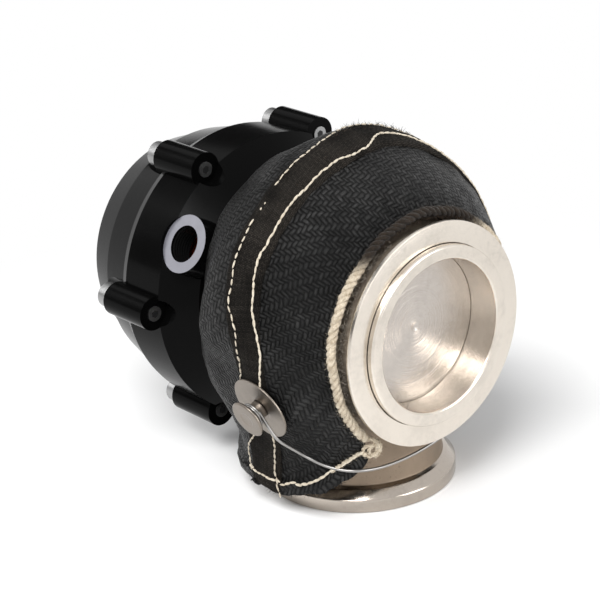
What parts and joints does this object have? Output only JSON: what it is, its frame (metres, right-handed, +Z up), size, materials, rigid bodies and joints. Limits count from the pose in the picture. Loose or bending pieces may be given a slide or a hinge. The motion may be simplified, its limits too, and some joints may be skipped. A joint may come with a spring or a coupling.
{
  "type": "wastegate with heat blanket",
  "caption": "Poppet-valve exhaust gate wrapped in a laced heat blanket: angled flanged body, sprung diaphragm actuator, woven insulating wrap with tape, edge cord and wire.",
  "frame": {"origin": "centre of the outlet bore on the outlet flange's face", "axes": "+Z up through the outlet neck, +Y along the valve axis from the inlet to the actuator's cap, +X to the right for someone who looks into the inlet"},
  "size_m": [0.1344, 0.1532, 0.1377],
  "materials": {
    "machined_steel": "machined, satin",
    "cast_steel": "cast, bead blasted, with machined faces",
    "bronze": "bored",
    "isolator_steel": "ground",
    "black_aluminium": "gloss black anodised",
    "grey_rubber": "moulded",
    "silicone_cloth": "matt orange red",
    "bare_aluminium": "turned",
    "spring_steel": "shot peened",
    "black_steel": "black oxide",
    "black_cloth": "woven, slight sheen",
    "grey_wadding": "needled glass fibre",
    "liner_cloth": "woven glass cloth",
    "cream_cord": "twisted glass cord",
    "black_tape": "close woven tape with pale thread",
    "anchor_steel": "satin",
    "lacing_steel": "bright drawn"
  },
  "bodies": {
    "gate_body": {"seat_ring": "machined_steel", "stem_guide": "bronze", "valve_body": "cast_steel", "heat_isolator": "isolator_steel", "body_bolts": "black_steel", "lower_housing": "black_aluminium", "stem_bushing": "bronze", "stem_seal": "grey_rubber", "diaphragm": "silicone_cloth", "outer_spring": "spring_steel", "inner_spring": "spring_steel", "upper_cap": "black_aluminium", "housing_screws": "black_steel", "blanket_outer": "black_cloth", "blanket_batting": "grey_wadding", "blanket_liner": "liner_cloth", "inlet_edge_cord": "cream_cord", "seam_tape": "black_tape", "lacing_anchors": "anchor_steel", "anchor_washers": "anchor_steel", "anchor_clips": "anchor_steel", "lacing_wraps": "lacing_steel", "lacing_wire": "lacing_steel"},
    "valve_train": {"valve": "machined_steel", "piston_plate": "bare_aluminium", "piston_cup": "bare_aluminium", "stem_nut": "machined_steel"}
  },
  "joints": [
    {"name": "valve_lift", "type": "slide", "parent": "gate_body", "child": "valve_train", "axis": [0, 1, 0], "range_m": [0, 0.014], "stiffness_N_per_m": 4000, "springref_m": -0.02, "deforming": ["outer_spring", "inner_spring", "diaphragm"]}
  ]
}
